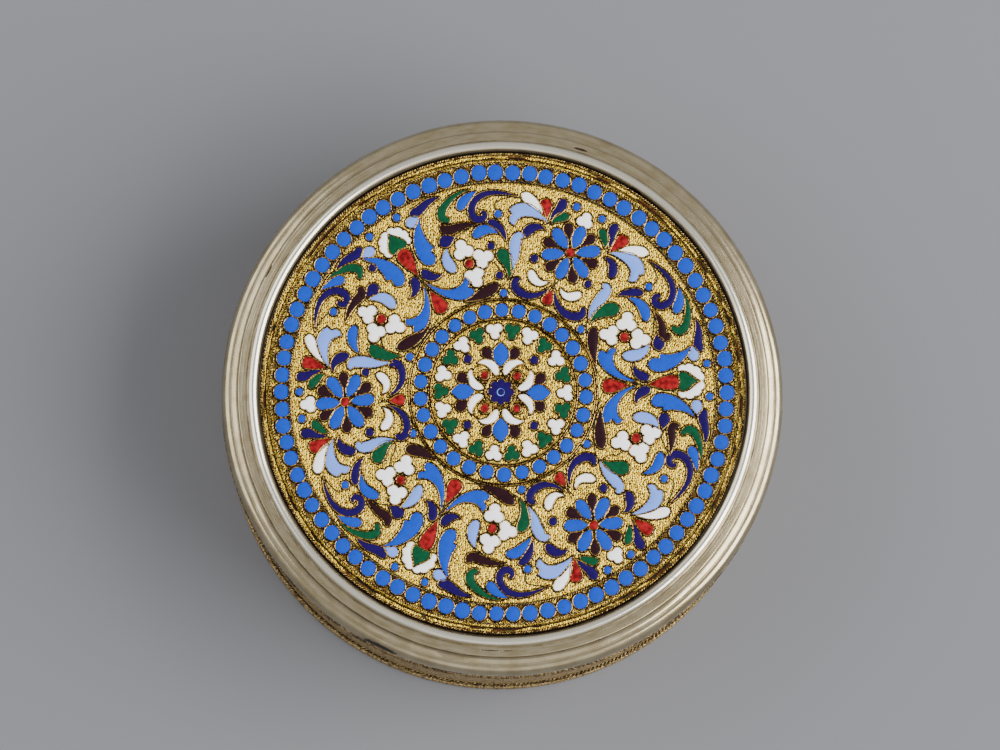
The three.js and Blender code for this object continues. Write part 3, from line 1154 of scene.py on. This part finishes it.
@dataclass
class Plaque:
    """The gilt plaque: its punched ground, enamel cells, cell wires, beads and twisted borders."""

    radius: float
    underside: float
    ground: float
    ground_steps: int = 360
    ground_spacing: float = 0.33
    ground_edge: float = 0.15
    beaten: float = 0.015
    enamel_edge: float = 0.15
    enamel_crown: float = 0.1
    enamel_sink: float = 0.1
    full_width: float = 0.55
    cushion_rows: tuple[float, ...] = (1.0, 0.86, 0.6, 0.3, 0.0)
    wire_crest: float = 0.27
    wire_half: float = 0.08
    wire_foot: float = 0.31
    wire_sink: float = 0.05
    ring_samples: int = 240
    stem_samples: int = 24
    palmette_turns: tuple[float, ...] = (-0.5, 1.7, -0.9)
    rosette_turns: tuple[float, ...] = (0.6, 0.4, -0.7)
    bead_rings: tuple[BeadRing, ...] = (
        BeadRing(82, 33.37, 1.17, 0.4, shift=(0.2, -0.02)), BeadRing(30, 12.4, 1.08, 2.7, drift=1.9),
    )
    plain_rings: tuple[float, ...] = (31.75, 35.3, 36.0, 13.75, 14.05, 10.8, 11.1)
    ropes: tuple[Rope, ...] = (Rope(32.02, 0.09, 1), Rope(34.85, 0.1, -1), Rope(36.2, 0.1, 1))
    rope_pitch: float = 0.8
    # Heights over the ground: below the first a rope's strands are painted dark as shade in the twist's
    # gaps, above the second they are gold.
    rope_shade_level: float = 0.27
    rope_gold_level: float = 0.36
    wire: WireFinish = WireFinish("gold_wire")
    cells: list[Drawn] = field(default_factory=list)
    beads: list[Shape] = field(default_factory=list)
    stems: list[Array] = field(default_factory=list)

    def draw(self) -> None:
        """Places every cell, bead and stem of the ornament."""
        for number, turn in enumerate(self.palmette_turns):
            axis = 120 * number + turn
            self._motif(Palmette(), axis)
            self._scrolls(HALF_SECTORS[2 * number], axis + 30, False)
            self._scrolls(HALF_SECTORS[2 * number + 1], axis - 30, True)
        for number, (turn, rosette) in enumerate(zip(self.rosette_turns, ROSETTES)):
            self._motif(rosette, 60 + 120 * number + turn)
        self.cells += each(Medallion().cells(), lambda shape: shape.by_hand(0.03))
        self.beads = [bead for ring in self.bead_rings for bead in ring.beads()]

    def _motif(self, motif: Union[Palmette, Rosette], axis: float) -> None:
        """Places a motif that is symmetrical about its axis."""
        self.cells += each(motif.centre(), lambda shape: shape.placed(axis).by_hand())
        for mirrored in (False, True):
            self.cells += each(motif.side(), lambda shape: shape.placed(axis, mirrored).by_hand())
            self._stems(motif.stems(), axis, mirrored)

    def _scrolls(self, scrolls: Scrolls, angle: float, mirrored: bool) -> None:
        """Places the scrollwork of one half sector."""
        self.cells += each(scrolls.centre(), lambda shape: shape.placed(angle, mirrored).by_hand(0.03))
        self._stems(scrolls.stems(), angle, mirrored)

    def _stems(self, lines: Iterable[Sequence[Point]], angle: float, mirrored: bool) -> None:
        """Places plain wires."""
        paths = [curve_through(line, self.stem_samples) for line in lines]
        self.stems += [Shape(path, path).placed(angle, mirrored).outline for path in paths]

    def build(self) -> list[bpy.types.Object]:
        """Makes the pieces.

        Returns:
            The ground first, then the enamels, the wires and the ropes.
        """
        self.draw()
        pieces = [self._ground_piece()]
        pieces += [self._enamel_piece(finish) for finish in PALETTE]
        return pieces + [self._wire_piece(), self._ring_piece(), self._rope_piece()]

    def _ground_piece(self) -> bpy.types.Object:
        """The plate.

        Returns:
            The piece: a turned profile whose top rises and falls by a product of sines, as beaten
            metal does.
        """
        rings = np.arange(self.radius - self.ground_edge, 0, -self.ground_spacing)
        top = np.stack([rings, np.full_like(rings, self.ground)], axis=1)
        shoulder = (self.radius, self.ground - self.ground_edge)
        edge = [(0, self.underside), (self.radius, self.underside), shoulder]
        profile = np.concatenate([edge, top, [(0, self.ground)]])
        grid = turned(profile, self.ground_steps)
        x, y = grid[..., 0], grid[..., 1]
        waves = np.sin(x * 1.7 + np.sin(y * 0.9)) * np.sin(y * 1.9 + np.sin(x * 1.1))
        grid[..., 2] += np.where(grid[..., 2] > self.ground - 0.01, waves * self.beaten, 0)
        return Sheets().add([grid]).piece("plaque_ground", GroundFinish().material(), "enamel_ground")

    def _enamel_piece(self, finish: EnamelFinish) -> bpy.types.Object:
        """All the cells of one enamel."""
        shapes = [shape for enamel, shape in self.cells if enamel is finish.enamel]
        shapes += self.beads if finish.enamel is SKY else []
        cushions = (self._cushion(shape.anticlockwise()) for shape in shapes)
        sheets = Sheets().add(cushions)
        return sheets.piece(finish.name + "_cells", finish.material(), finish.name, crease=60)

    def _cushion(self, shape: Shape) -> Array:
        """A filled cell, which stands straight up at its outline and swells to a low crown.

        Args:
            shape: the cell, its outline anticlockwise.

        Returns:
            Its grid. Height is the edge's, plus the crown times 1 less the square of how far out a
            point is, and less where the cell is narrow.
        """
        inward = shape.outline - shape.heart
        reach = np.linalg.norm(inward, axis=1)
        crown = self.enamel_crown * np.minimum(1, reach / self.full_width)
        sunk = np.full_like(crown, -self.enamel_sink)
        levels = [(0.0, sunk), (1.0, sunk)]
        levels += [(out, self.enamel_edge + crown * (1 - out**2)) for out in self.cushion_rows]
        rows = []
        for out, rise in levels:
            flat = shape.heart + inward * out
            rows.append(np.column_stack([flat, self.ground + rise + shape.lift]))
        return np.stack(rows)

    def _wire_piece(self) -> bpy.types.Object:
        """A wire round every cell of the motifs, and the stems."""
        ridges = [self._ridge(shape) for _, shape in self.cells if not shape.lift]
        strands = [self._strand(path) for path in self.stems]
        sheets = Sheets().add(ridges, looped=True).add(strands)
        return sheets.piece("cell_wires", self.wire.material(), "gold_wire", crease=70)

    def _ring_piece(self) -> bpy.types.Object:
        """A wire round every bead, the rings of the middle and the plain rings of the borders."""
        rings = [dot((0.0, 0.0), radius, self.ring_samples) for radius in self.plain_rings]
        ridges = [self._ridge(shape) for shape in self.beads + Medallion().rims() + rings]
        sheets = Sheets().add(ridges, looped=True)
        return sheets.piece("ring_wires", self.wire.material(), "gold_wire", crease=70)

    def _ridge(self, shape: Shape) -> Array:
        """A wire along a shape's outline.

        Args:
            shape: the cell or ring that it follows.

        Returns:
            Its grid: a section with a rounded crest and a flared foot, carried round the outline.
        """
        outline = shape.anticlockwise().outline
        along = np.roll(outline, -1, axis=0) - np.roll(outline, 1, axis=0)
        along /= np.maximum(np.linalg.norm(along, axis=1, keepdims=True), TINY)
        outward = np.stack([along[:, 1], -along[:, 0]], axis=1)
        half, foot, crest, sink = self.wire_half, self.wire_foot, self.wire_crest, -self.wire_sink
        # The flared foot stays below the wire finish's low level, so it is painted dark as shade beside the
        # wire.
        section = [(-half, sink), (foot, sink), (half * 1.4, 0.08)]
        section += [(half, crest * 0.78), (0.0, crest), (-half, crest * 0.78)]
        rows = []
        for across, rise in section:
            flat = outline + outward * (across + half * 0.6)
            rows.append(np.column_stack([flat, np.full(len(flat), self.ground + rise)]))
        return np.stack(rows)

    def _strand(self, path: Array) -> Array:
        """A plain round wire along an open path.

        Args:
            path: the points along its middle.

        Returns:
            Its grid: a circle carried along the path, drawn to a point at both ends.
        """
        run = np.linspace(0, 1, len(path))
        half = self.wire_half * 1.1 * np.sqrt(np.clip(1 - (2 * run - 1) ** 6, 0, 1))
        angles = np.linspace(0, 2 * math.pi, 8, endpoint=False)
        across = sideways(path)
        ring = []
        for angle in angles:
            flat = path - across * (half * math.cos(angle))[:, None]
            rise = self.ground + 0.06 + half * 1.3 * math.sin(angle)
            ring.append(np.column_stack([flat, rise]))
        return np.stack(ring, axis=1)

    def _rope_piece(self) -> bpy.types.Object:
        """The twisted wires of the outer border, their strands painted dark as shade in the twist's gaps
        below one level and gold above another.
        """
        sheets = Sheets()
        for line in self.ropes:
            level = self.ground + line.strand * 2
            sheets.add(rope(line, level, self.rope_pitch), looped=True)
        low, high = self.ground + self.rope_shade_level, self.ground + self.rope_gold_level
        finish = WireFinish("rope_gold", low=low, high=high)
        return sheets.piece("border_ropes", finish.material(), "gold_wire", crease=80)


def rope(line: Rope, level: float, pitch: float) -> list[Array]:
    """Two strands twisted together round a ring.

    Args:
        line: the ring, the strands and the way that they twist.
        level: the height of the rope's middle.
        pitch: the length of one full turn of the twist.

    Returns:
        A grid for each strand: a small circle carried round the ring while it circles the rope's middle.
    """
    ring, strand, hand = line
    turns = round(2 * math.pi * ring / pitch)
    steps = turns * 8
    angle = np.linspace(0, 2 * math.pi, steps, endpoint=False)
    round_strand = np.linspace(0, 2 * math.pi, 5, endpoint=False)[:, None]
    strands = []
    for half in (0, 1):
        twist = hand * turns * angle + half * math.pi
        radius = ring + strand * np.cos(twist) + strand * np.cos(round_strand)
        height = level + strand * np.sin(twist) + strand * np.sin(round_strand)
        strands.append(np.stack([radius * np.cos(angle), radius * np.sin(angle), height], axis=-1))
    return strands


def turned(profile: Array, steps: int) -> Array:
    """A profile turned about Z.

    Args:
        profile: pairs of radius and height.
        steps: how many columns go round.

    Returns:
        A grid: each point of the profile goes round a circle of its radius.
    """
    angle = np.linspace(0, 2 * math.pi, steps, endpoint=False)
    radius, height = np.asarray(profile, dtype=float).T
    x, y = np.outer(radius, np.cos(angle)), np.outer(radius, np.sin(angle))
    return np.stack([x, y, np.repeat(height[:, None], steps, axis=1)], axis=-1)


def bow(centre: Point, size: Point, start: float, end: float, steps: int) -> list[Point]:
    """Points along an elliptical arc of a profile.

    Args:
        centre, size: the ellipse's middle and its two half widths.
        start, end: the angles of its ends, in degrees.
        steps: how many stretches it has.

    Returns:
        The points, from the start to the end.
    """
    angles = np.radians(np.linspace(start, end, steps + 1))
    return [(centre[0] + size[0] * math.cos(a), centre[1] + size[1] * math.sin(a)) for a in angles]


def eased(profile: Sequence[Point], radius: float, steps: int = 3) -> Array:
    """A profile with its inner corners rounded.

    Args:
        profile: pairs of radius and height.
        radius: how far from a corner its rounding starts, or less where a side is short.
        steps: how many stretches each rounding has.

    Returns:
        The profile. Each corner p becomes a parabola between the points a and b before and after
        it: (1-s)^2 a + 2s(1-s) p + s^2 b.
    """
    points = np.asarray(profile, dtype=float)
    sides = np.diff(points, axis=0)
    lengths = np.linalg.norm(sides, axis=1, keepdims=True)
    reach = np.minimum(radius, lengths * 0.45)
    units = sides / np.maximum(lengths, TINY)
    corner = points[1:-1]
    before = corner - units[:-1] * np.minimum(reach[:-1], reach[1:])
    after = corner + units[1:] * np.minimum(reach[:-1], reach[1:])
    s = np.linspace(0, 1, steps + 1)[None, :, None]
    bend = (1 - s) ** 2 * before[:, None] + 2 * s * (1 - s) * corner[:, None] + s**2 * after[:, None]
    return np.concatenate([points[:1], bend.reshape(-1, 2), points[-1:]])


@dataclass
class Lid:
    """The moulded lid: skirt, ovolo and cove edge, flat band, and a polished bead round the plaque."""

    radius: float
    lip: float
    top: float
    seat: float
    seat_radius: float
    steps: int = 360
    skirt_bore: float = 40.7
    skirt: float = 0.7
    skirt_drop: float = 2.2
    plate: float = 0.8
    bead_width: float = 1.6
    bead_rise: float = 1.0
    edge_width: float = 2.55
    band_fall: float = 0.2
    band_step: float = 0.7
    ovolo_share: float = 0.65
    dents: tuple[tuple[float, int, float], ...] = ((0.02, 3, 0.7), (0.012, 11, 2.0), (0.008, 23, 0.0))
    dent_depth: float = 0.04

    def profile(self) -> Array:
        """The lid's section.

        Returns:
            Pairs of radius and height, from the axis below to the axis above.
        """
        band_radius = self.radius - self.edge_width
        band = self.top - self.bead_rise - self.band_fall
        step_foot = band - self.band_step
        moulding = self.lip + self.skirt_drop
        edge = moulding + self.skirt
        ovolo = (step_foot - edge) * self.ovolo_share
        cove = step_foot - edge - ovolo
        half = self.edge_width / 2
        middle = self.radius - half
        bead_middle = (self.seat_radius + self.bead_width / 2, self.top - self.bead_rise)
        lower = [
            (0, self.seat - self.plate),
            (band_radius - self.skirt, self.seat - self.plate),
            (self.skirt_bore, self.seat - self.plate - self.skirt),
            (self.skirt_bore, self.lip),
            (self.skirt_bore + self.skirt, self.lip),
            (self.skirt_bore + self.skirt, moulding),
            (self.radius - self.skirt / 2, moulding),
        ]
        upper = [
            *bow((middle, edge), (half, ovolo), 0, 80, 16),
            *bow((middle, step_foot), (half, cove), 265, 180, 10),
            (band_radius, band),
            (self.seat_radius + self.bead_width, band),
            *bow(bead_middle, (self.bead_width / 2, self.bead_rise), 0, 180, 24),
            (self.seat_radius, self.seat),
            (0, self.seat),
        ]
        return np.concatenate([eased(lower + upper[:1], 0.12)[:-1], eased(upper, 0.06, 2)])

    def build(self) -> bpy.types.Object:
        """Turns the profile and dents it by a few hundredths, as long use does.

        Returns:
            The lid. Each dent is a depth, how many waves go round and where they start, and their
            sines are added.
        """
        grid = turned(self.profile(), self.steps)
        angle = np.linspace(0, 2 * math.pi, self.steps, endpoint=False)
        bent = sum(depth * np.sin(waves * angle + start) for depth, waves, start in self.dents)
        radius = np.hypot(grid[..., 0], grid[..., 1])
        outward = np.where(radius > self.seat_radius - 0.1, bent - self.dent_depth, 0)
        grid[..., :2] *= (1 + outward / np.maximum(radius, 1))[..., None]
        return Sheets().add([grid]).piece("lid_ring", LID_GILT.material(), "silver_gilt")


@dataclass
class Drum:
    """The round body: floor, foot ring, matted wall, rim bead and the collar inside the lid."""

    radius: float
    collar_top: float
    steps: int = 360
    wall_radius: float = 41.3
    wall: float = 0.9
    floor: float = 1.0
    lift: float = 0.8
    foot_proud: float = 0.7
    foot_height: float = 2.2
    tread: float = 1.5
    shoulder: float = 22.6
    rim_height: float = 1.3
    collar: float = 0.8
    collar_tail: float = 3.0
    rope_strand: float = 0.16
    rope_pitch: float = 1.3
    rope_lift: float = 1.8

    def profile(self) -> Array:
        """The body's section.

        Returns:
            Pairs of radius and height, from the axis below, up the outside and down the inside.
        """
        tread_outer = self.wall_radius + self.foot_proud / 2
        bore = self.wall_radius - self.wall
        half_foot = (self.foot_proud / 2, self.foot_height / 2)
        half_rim = self.rim_height / 2
        rim_middle = (self.radius - half_rim, self.shoulder - half_rim)
        tail = self.shoulder - self.collar_tail
        outside = [
            (0, self.lift),
            (tread_outer - self.tread - self.lift / 2, self.lift),
            (tread_outer - self.tread, 0),
            (tread_outer, 0),
            *bow((tread_outer, self.foot_height / 2), half_foot, -60, 60, 10),
            (self.wall_radius, self.foot_height),
            (self.wall_radius, self.shoulder - self.rim_height),
            *bow(rim_middle, (half_rim, half_rim), -90, 90, 12),
        ]
        inside = [
            (bore, self.shoulder),
            (bore, self.collar_top),
            (bore - self.collar, self.collar_top),
            (bore - self.collar, tail),
            (bore, tail),
            (bore, self.lift + self.floor),
            (0, self.lift + self.floor),
        ]
        return eased(outside + inside, 0.1, 2)

    def build(self) -> list[bpy.types.Object]:
        """Turns the body and lays a twisted wire under the rim and another on the foot.

        Returns:
            The drum and its two wires.
        """
        wall = Sheets().add([turned(self.profile(), self.steps)])
        drum = wall.piece("drum", BODY_GILT.material(), "aged_gilt")
        line = Rope(self.wall_radius + self.rope_strand, self.rope_strand, 1)
        clear = self.rope_strand * self.rope_lift
        ropes = Sheets()
        for level in (self.shoulder - self.rim_height - clear, self.foot_height + clear):
            ropes.add(rope(line, level, self.rope_pitch), looped=True)
        return [drum, ropes.piece("wall_ropes", WALL_WIRE.material(), "gold_wire", crease=80)]


ROSETTES = (
    Rosette(shift=(0.1, -0.1), crown=(0.0, 28.8)),
    Rosette(shift=(0.3, 0.1), crown=(0.35, 29.1)),
    Rosette(shift=(-0.3, 0.5), crown=(-0.6, 29.75)),
)
PALETTE = (
    EnamelFinish(SKY, (0.006, 0.053, 0.43), (0.008, 0.042, 0.35)),
    EnamelFinish(INDIGO, (0.010, 0.001, 0.072), (0.006, 0.0, 0.042)),
    EnamelFinish(PALE, (0.14, 0.28, 0.80), (0.20, 0.28, 0.72)),
    EnamelFinish(WHITE, (1.0, 0.99, 0.98), (0.95, 0.95, 0.96), speck=(0.3, 0.33, 0.5), shine=0.5),
    EnamelFinish(GREEN, (0.002, 0.062, 0.024), (0.001, 0.028, 0.010)),
    EnamelFinish(RED, (0.30, 0.010, 0.012), (0.045, 0.001, 0.001), mottle=0.9),
    EnamelFinish(MAROON, (0.018, 0.004, 0.007), (0.008, 0.002, 0.003)),
)


class Lamp(NamedTuple):
    """A square soft light: its name, its place in metres, its side and its power in watts."""

    name: str
    place: tuple[float, float, float]
    side: float
    power: float


@dataclass
class Studio:
    """A plain floor, soft light from the sides and a camera nearly overhead.

    Lengths are in metres here, but the lens and sensor are in millimetres and the aim is in pixels
    of the photograph. The tilt is from upright, and the camera looks from the heading towards.
    """

    target: Vector
    tilt: float = 8.5
    towards: float = 256.6
    image_up: float = 85.9
    distance: float = 0.798
    lens: float = 192.0
    pixel: float = 0.00015
    aim_right: float = -3.1
    aim_up: float = 17.2
    sensor: float = 36.0
    lamps: tuple[Lamp, ...] = (
        Lamp("left", (-0.9, 0.32, 0.62), 1.3, 11.0), Lamp("right", (0.95, -0.22, 0.62), 1.3, 40.0),
        Lamp("front", (0.0, -0.9, 0.7), 1.2, 2.0),
    )
    world_tint: Tint = (0.96, 0.98, 1.0)
    world_strength: float = 0.57
    floor_tint: Tint = (0.17, 0.173, 0.185)
    floor_half: float = 1.5

    def build(self) -> None:
        """Makes the floor, the lights and the camera."""
        self._floor()
        self._world()
        for lamp in self.lamps:
            self._light(lamp)
        self._camera()

    def _camera(self) -> None:
        """Aims the camera so that the plaque's centre falls where the photograph has it."""
        tilt, towards, image_up = np.radians([self.tilt, self.towards, self.image_up])
        flat = math.sin(tilt)
        back = Vector((flat * math.cos(towards), flat * math.sin(towards), math.cos(tilt)))
        hint = Vector((math.cos(image_up), math.sin(image_up), 0))
        right = hint.cross(back).normalized()
        up = back.cross(right)
        aim = self.target + (right * self.aim_right + up * self.aim_up) * self.pixel
        data = bpy.data.cameras.new("camera")
        data.lens = self.lens
        data.sensor_width = self.sensor
        camera = link("camera", data)
        axes = Matrix((right, up, back)).transposed().to_4x4()
        camera.matrix_world = Matrix.Translation(aim + back * self.distance) @ axes
        bpy.context.scene.camera = camera

    def _light(self, lamp: Lamp) -> None:
        """A lamp that faces the box."""
        data = bpy.data.lights.new(lamp.name, "AREA")
        data.size = lamp.side
        data.energy = lamp.power
        light = link(lamp.name, data)
        light.location = lamp.place
        light.rotation_euler = (self.target - Vector(lamp.place)).to_track_quat("-Z", "Y").to_euler()

    def _world(self) -> None:
        """Even grey light from all round."""
        world = bpy.data.worlds.new("studio")
        world.use_nodes = True
        background = world.node_tree.nodes["Background"]
        background.inputs["Color"].default_value = (*self.world_tint, 1)
        background.inputs["Strength"].default_value = self.world_strength
        bpy.context.scene.world = world

    def _floor(self) -> None:
        """A wide pale sheet under the box."""
        mesh = bpy.data.meshes.new("floor")
        half = self.floor_half
        corners = [(-half, -half, 0), (half, -half, 0), (half, half, 0), (-half, half, 0)]
        mesh.from_pydata(corners, [], [(0, 1, 2, 3)])
        shader = Shader("floor_paper")
        shader.set(Base_Color=self.floor_tint, Roughness=0.9, Specular_IOR_Level=0.2)
        mesh.materials.append(shader.material)
        floor = link("floor", mesh)


def main() -> None:
    """Builds the pieces in order and sets them against the frame."""
    lid_low, lid_high = (corner / METRES for corner in map(np.array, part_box("lid")))
    plaque_low, plaque_high = (corner / METRES for corner in map(np.array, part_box("enamel_plaque")))
    drum_low, drum_high = (corner / METRES for corner in map(np.array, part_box("box_body")))
    ground = float(plaque_high[2]) - RELIEF
    lid = Lid(
        radius=float(lid_high[0]), lip=float(lid_low[2]), top=float(lid_high[2]),
        seat=float(plaque_low[2]) - GAP, seat_radius=float(plaque_high[0]) + GAP,
    ).build()
    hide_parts("lid")
    drum, _ = Drum(radius=float(drum_high[0]), collar_top=float(drum_high[2])).build()
    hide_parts("box_body")
    plaque = Plaque(radius=float(plaque_high[0]), underside=float(plaque_low[2]), ground=ground).build()
    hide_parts("enamel_plaque")
    Studio(target=Vector((0, 0, ground * METRES))).build()


if __name__ == "__main__":
    main()
